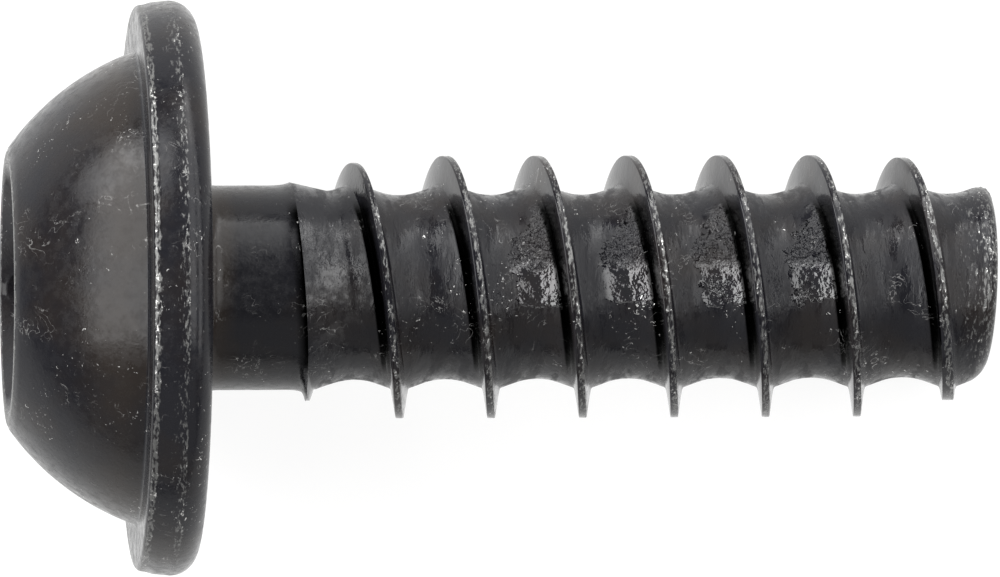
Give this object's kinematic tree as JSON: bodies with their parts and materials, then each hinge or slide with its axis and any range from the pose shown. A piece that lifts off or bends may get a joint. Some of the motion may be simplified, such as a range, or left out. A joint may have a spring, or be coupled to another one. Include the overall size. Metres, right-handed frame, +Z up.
{
  "type": "pan head screw",
  "caption": "Pan head screw with a washer flange, a lobed socket, a short plain shank and a coarse, narrow thread that forms its own way into plastics.",
  "frame": {"origin": "centre of the bearing face under the head, on the screw's axis", "axes": "+Z up from the surface the screw lies on; +X from the head towards the tip, level, with the screw's own axis leaning 12.3 degrees down from it, because the screw rests on its flange's rim and on its last full crest"},
  "size_m": [0.0233, 0.0132, 0.013],
  "materials": {
    "black_steel": "cold-formed steel with a thin black conversion coating, lightly oiled, worn bright along the crests and the flange's edges"
  },
  "bodies": {
    "root": {"screw": "black_steel"}
  },
  "joints": []
}
